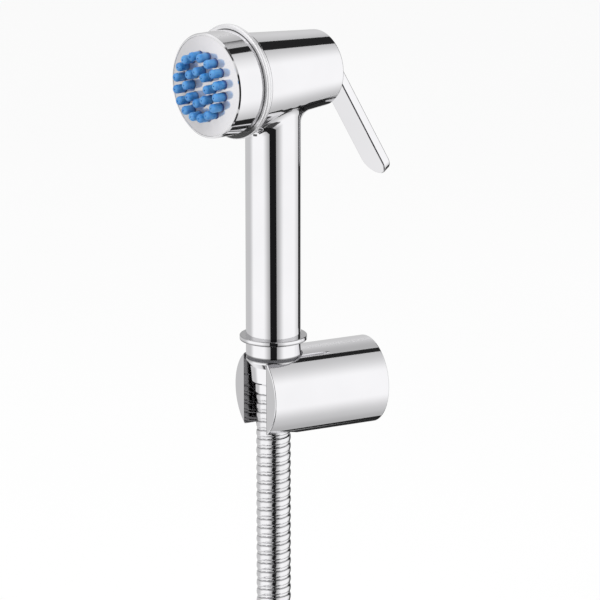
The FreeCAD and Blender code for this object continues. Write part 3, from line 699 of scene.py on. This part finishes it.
class BIDET_OT_finishes(bpy.types.Operator):
    """Chrome, plastic, rubber, brass and steel on the solids"""

    bl_idname = "bidet.finishes"
    bl_label = "Finishes"

    def execute(self, context):
        for material, names in node_finishes(context.scene.bidet_finish):
            for name in names:
                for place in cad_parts[name].material_slots:
                    place.material = material
        return {"FINISHED"}


# Studio

WHITE = (1, 1, 1, 1)
FLOOR_TINTS = ((0.88, 0.88, 0.88), (0.92, 0.92, 0.92))
FLOOR_ROUGHNESS = 0.8
FLOOR_GRAIN = 3
SENSOR_WIDTH = 36
FARTHEST_SEEN = 50

# Azimuth from the camera, elevation, distance, size, and share of the main lamp's power
LAMPS = (
    ("key lamp", -45, 50, 1.6, 0.9, 1.0),
    ("fill lamp", 60, 30, 1.8, 1.2, 0.5),
)

# Dark cards round the shower: azimuth from the camera, elevation, width, height, depth, soft
CARDS = (
    ("front strip", 1.5, 0, 28, 144, 0.99, 0.04),
    ("front shade", 3, 0, 90, 130, 0.75, 1.0),
    ("low front shade", 33, -50, 36, 44, 0.93, 0.3),
    ("rear strip", 140.5, 3.5, 28, 94, 0.98, 0.12),
    ("rear shade", 150, 0, 110, 150, 0.45, 1.0),
    ("rear top strip", 122, 60, 13, 26, 0.98, 0.2),
    ("low rear strip", 161, -36, 33.5, 24, 0.97, 0.06),
    ("low rear line", 143, -51, 30, 11, 0.98, 0.1),
    ("left rear shade", -138, 0, 100, 100, 0.42, 0.65),
    ("low left line", -28, -54, 36, 26, 0.95, 0.3),
    ("low left shade", -80, -40, 28, 16, 0.9, 0.3),
    ("high left line", -28, 50, 36, 26, 0.9, 0.3),
    ("overhead", 0, 90, 44, 44, 0.8, 0.3),
    ("underneath", 0, -90, 44, 44, 0.9, 0.3),
    ("upper shade", 110, 80, 110, 110, 0.5, 1.0),
    ("lower shade", 115, -80, 110, 110, 0.5, 1.0),
)
CARD_COLOUR = (0.008, 0.008, 0.0085, 1)
CARD_HALF = 0.5


def direction(azimuth, elevation):
    """From the shower outwards. Azimuth 0 is -Y and 90 is +X."""
    turn = math.radians(azimuth)
    rise = math.radians(elevation)
    flat = math.cos(rise)
    return Vector((math.sin(turn) * flat, -math.cos(turn) * flat, math.sin(rise)))


def look_from(thing, studio, azimuth, elevation, distance):
    """Stand a thing off from the target, turned to it."""
    target = Vector(studio.target)
    thing.location = target + direction(azimuth, elevation) * distance
    thing.rotation_euler = (thing.location - target).to_track_quat("Z", "Y").to_euler()


def seen_straight(tree):
    """1 for what the camera or a mirror sees, and 0 for the light on other surfaces."""
    path = tree.nodes.new("ShaderNodeLightPath")
    return add_math(tree, "MAXIMUM", path.outputs["Is Camera Ray"], path.outputs["Is Glossy Ray"])


def mix_shaders(tree, factor, first, second, out):
    """Blend two shaders into a socket."""
    mix = tree.nodes.new("ShaderNodeMixShader")
    tree.links.new(factor, mix.inputs["Fac"])
    tree.links.new(first, mix.inputs[1])
    tree.links.new(second, mix.inputs[2])
    tree.links.new(mix.outputs["Shader"], out)


def add_floor(studio):
    nothing_selected()
    bpy.ops.mesh.primitive_plane_add(size=studio.floor_size, location=(0, 0, FLOOR_HEIGHT))
    floor = bpy.context.object
    floor.name = "floor"
    material, shader, where = new_finish("pale floor")
    tree = material.node_tree
    shader.inputs["Roughness"].default_value = FLOOR_ROUGHNESS
    pale = add_tint(tree, add_noise(tree, where, FLOOR_GRAIN), *FLOOR_TINTS)
    tree.links.new(pale, shader.inputs["Base Color"])
    white = tree.nodes.new("ShaderNodeEmission")
    weight = add_math(tree, "MULTIPLY", seen_straight(tree), studio.floor_white)
    out = tree.nodes["Material Output"].inputs["Surface"]
    mix_shaders(tree, weight, shader.outputs["BSDF"], white.outputs["Emission"], out)
    floor.data.materials.append(material)
    floor.visible_glossy = False


def white_world(studio):
    """White for the camera and the mirrors, and softer light on the shower."""
    world = bpy.context.scene.world or bpy.data.worlds.new("studio")
    bpy.context.scene.world = world
    world.use_nodes = True
    tree = world.node_tree
    tree.nodes.clear()
    soft = tree.nodes.new("ShaderNodeBackground")
    soft.inputs["Color"].default_value = WHITE
    soft.inputs["Strength"].default_value = studio.room_light
    plain = tree.nodes.new("ShaderNodeBackground")
    plain.inputs["Color"].default_value = WHITE
    out = tree.nodes.new("ShaderNodeOutputWorld").inputs["Surface"]
    weight = seen_straight(tree)
    mix_shaders(tree, weight, soft.outputs["Background"], plain.outputs["Background"], out)


def add_camera(studio):
    data = bpy.data.cameras.new("camera")
    data.lens = studio.lens
    data.sensor_width = SENSOR_WIDTH
    data.clip_end = FARTHEST_SEEN
    camera = add_object("camera", data)
    look_from(camera, studio, studio.azimuth, studio.elevation, studio.distance)
    bpy.context.scene.camera = camera


def add_lamp(studio, name, azimuth, elevation, distance, size, share):
    data = bpy.data.lights.new(name, "AREA")
    data.shape = "SQUARE"
    data.size = size
    data.energy = studio.lamp_power * share
    lamp = add_object(name, data)
    look_from(lamp, studio, studio.azimuth + azimuth, elevation, distance)
    lamp.visible_glossy = False


def add_card(studio, name, azimuth, elevation, width, height, depth, soft):
    """A dark card, far off, that only mirrors see. Width and height are in degrees, depth is how
    dark it is, and soft the share of it that fades out."""
    reach = studio.card_distance
    nothing_selected()
    bpy.ops.mesh.primitive_plane_add(size=2 * CARD_HALF)
    card = bpy.context.object
    card.name = name
    for axis, angle in enumerate((width, height)):
        card.scale[axis] = 2 * reach * math.tan(math.radians(angle / 2))
    look_from(card, studio, studio.azimuth + azimuth, elevation, reach)
    material = bpy.data.materials.new(name)
    material.use_nodes = True
    tree = material.node_tree
    tree.nodes.clear()
    fades = []
    for place in split(tree, object_place(tree))[:2]:
        away = add_math(tree, "ABSOLUTE", place)
        fades.append(add_fade(tree, away, CARD_HALF, CARD_HALF * (1 - soft)))
    weight = add_math(tree, "MULTIPLY", add_math(tree, "MULTIPLY", *fades), depth)
    clear = tree.nodes.new("ShaderNodeBsdfTransparent")
    dark = tree.nodes.new("ShaderNodeEmission")
    dark.inputs["Color"].default_value = CARD_COLOUR
    out = tree.nodes.new("ShaderNodeOutputMaterial").inputs["Surface"]
    mix_shaders(tree, weight, clear.outputs["BSDF"], dark.outputs["Emission"], out)
    card.data.materials.append(material)
    card.visible_camera = False
    card.visible_diffuse = False
    card.visible_shadow = False
    card.visible_transmission = False


class BIDET_OT_studio(bpy.types.Operator):
    """Camera, pale floor, soft lamps and the cards that the chrome mirrors"""

    bl_idname = "bidet.studio"
    bl_label = "Studio"

    def execute(self, context):
        studio = context.scene.bidet_studio
        context.scene.view_settings.view_transform = "Standard"
        add_camera(studio)
        white_world(studio)
        add_floor(studio)
        for lamp in LAMPS:
            add_lamp(studio, *lamp)
        for card in CARDS:
            add_card(studio, *card)
        return {"FINISHED"}


# Settings


class HoseSizes(bpy.types.PropertyGroup):
    diameter: FloatProperty(
        name="Diameter",
        description="Outside diameter of the hose over its ribs",
        default=0.014,
        unit="LENGTH",
    )
    rib_pitch: FloatProperty(
        name="Rib pitch",
        description="Distance from one wide rib to the next along the hose",
        default=0.00373,
        unit="LENGTH",
    )
    groove_depth: FloatProperty(
        name="Groove depth",
        description="Depth of the groove between two turns of the strip",
        default=0.0006,
        unit="LENGTH",
    )
    sides: IntProperty(
        name="Sides",
        description="Number of faces round the hose",
        default=32,
    )


class NubSizes(bpy.types.PropertyGroup):
    diameter: FloatProperty(
        name="Diameter",
        description="Outside diameter of a nub",
        default=0.0035,
        unit="LENGTH",
    )
    length: FloatProperty(
        name="Length",
        description="From the face plate's rim to a nub's tip",
        default=0.006,
        unit="LENGTH",
    )
    rounding: FloatProperty(
        name="Rounding",
        description="Radius of the rounded edge at a nub's tip",
        default=0.0011,
        unit="LENGTH",
    )
    outlet: FloatProperty(
        name="Outlet",
        description="Diameter and depth of the water outlet in a nub's tip",
        default=0.0006,
        unit="LENGTH",
    )
    sides: IntProperty(
        name="Sides",
        description="Number of faces round a nub",
        default=24,
    )


class Finishes(bpy.types.PropertyGroup):
    chrome: FloatVectorProperty(
        name="Chrome",
        description="Colour of the plated metal",
        default=(0.934, 0.929, 0.948),
        subtype="COLOR",
    )
    satin: FloatVectorProperty(
        name="Satin chrome",
        description="Colour of the softer ring behind the nozzle",
        default=(0.85, 0.845, 0.86),
        subtype="COLOR",
    )
    face: FloatVectorProperty(
        name="Face plate",
        description="Colour of the nozzle's polished face plate",
        default=(0.77, 0.76, 0.78),
        subtype="COLOR",
    )
    steel: FloatVectorProperty(
        name="Steel",
        description="Colour of the plain steel pieces",
        default=(0.62, 0.62, 0.63),
        subtype="COLOR",
    )
    brass: FloatVectorProperty(
        name="Brass",
        description="Colour of the machined brass pieces",
        default=(0.74, 0.58, 0.30),
        subtype="COLOR",
    )
    plastic: FloatVectorProperty(
        name="White plastic",
        description="Colour of the inner white plastic pieces",
        default=(0.82, 0.82, 0.80),
        subtype="COLOR",
    )
    rubber: FloatVectorProperty(
        name="Rubber",
        description="Colour of the seals",
        default=(0.03, 0.03, 0.03),
        subtype="COLOR",
    )
    grey_rubber: FloatVectorProperty(
        name="Grey rubber",
        description="Colour of the grey washer and collar",
        default=(0.12, 0.12, 0.13),
        subtype="COLOR",
    )
    silicone: FloatVectorProperty(
        name="Silicone",
        description="Colour of the spray nubs",
        default=(0.03, 0.18, 0.45),
        subtype="COLOR",
    )
    silicone_pale: FloatVectorProperty(
        name="Silicone, pale",
        description="Colour of the paler blotches in the spray nubs",
        default=(0.10, 0.29, 0.56),
        subtype="COLOR",
    )
    # painted shade where the nubs enter the face plate
    silicone_root_shade: FloatVectorProperty(
        name="Silicone, root",
        description="Colour of the spray nubs where they enter the face plate",
        default=(0.03, 0.06, 0.22),
        subtype="COLOR",
    )


class StudioSettings(bpy.types.PropertyGroup):
    azimuth: FloatProperty(
        name="Azimuth",
        description="Camera's direction round the shower, in degrees from the room side",
        default=62.11,
    )
    elevation: FloatProperty(
        name="Elevation",
        description="Camera's height over the horizon in degrees",
        default=14.43,
    )
    distance: FloatProperty(
        name="Distance",
        description="From the camera to its target",
        default=1.44541,
        unit="LENGTH",
    )
    lens: FloatProperty(
        name="Lens",
        description="Focal length in millimetres on a 36 mm sensor",
        default=217.54,
    )
    target: FloatVectorProperty(
        name="Target",
        description="Point that the camera looks at",
        default=(0.00498, -0.034, 0.03779),
        subtype="TRANSLATION",
    )
    room_light: FloatProperty(
        name="Room light",
        description="Strength of the light from all round",
        default=0.7,
    )
    lamp_power: FloatProperty(
        name="Lamp power",
        description="Power of the main lamp in watts",
        default=18.0,
    )
    card_distance: FloatProperty(
        name="Card distance",
        description="How far off the dark cards stand",
        default=6.0,
        unit="LENGTH",
    )
    floor_size: FloatProperty(
        name="Floor size",
        description="Side of the square floor",
        default=12.0,
        unit="LENGTH",
    )
    floor_white: FloatProperty(
        name="Floor white",
        description="How far the floor is lifted to white for the camera",
        default=0.85,
        subtype="FACTOR",
    )


STEPS = (
    BIDET_OT_studio,
    BIDET_OT_hose,
    BIDET_OT_nubs,
    BIDET_OT_finishes,
)
GROUPS = {
    "bidet_hose": HoseSizes,
    "bidet_nubs": NubSizes,
    "bidet_finish": Finishes,
    "bidet_studio": StudioSettings,
}


class BIDET_PT_panel(bpy.types.Panel):
    bl_idname = "BIDET_PT_panel"
    bl_label = "Bidet Shower"
    bl_space_type = "VIEW_3D"
    bl_region_type = "UI"
    bl_category = "Bidet Shower"

    def draw(self, context):
        for settings in GROUPS:
            group = getattr(context.scene, settings)
            box = self.layout.box()
            for name in group.__annotations__:
                box.prop(group, name)
        for step in STEPS:
            self.layout.operator(step.bl_idname)


def register():
    for name, group in GROUPS.items():
        bpy.utils.register_class(group)
        setattr(bpy.types.Scene, name, PointerProperty(type=group))
    for step in STEPS:
        bpy.utils.register_class(step)
    bpy.utils.register_class(BIDET_PT_panel)


def unregister():
    bpy.utils.unregister_class(BIDET_PT_panel)
    for step in STEPS:
        bpy.utils.unregister_class(step)
    for name, group in GROUPS.items():
        delattr(bpy.types.Scene, name)
        bpy.utils.unregister_class(group)


def main():
    register()
    bpy.ops.bidet.studio()
    bpy.ops.bidet.hose()
    bpy.ops.bidet.nubs()
    bpy.ops.bidet.finishes()


if __name__ == "__main__":
    main()
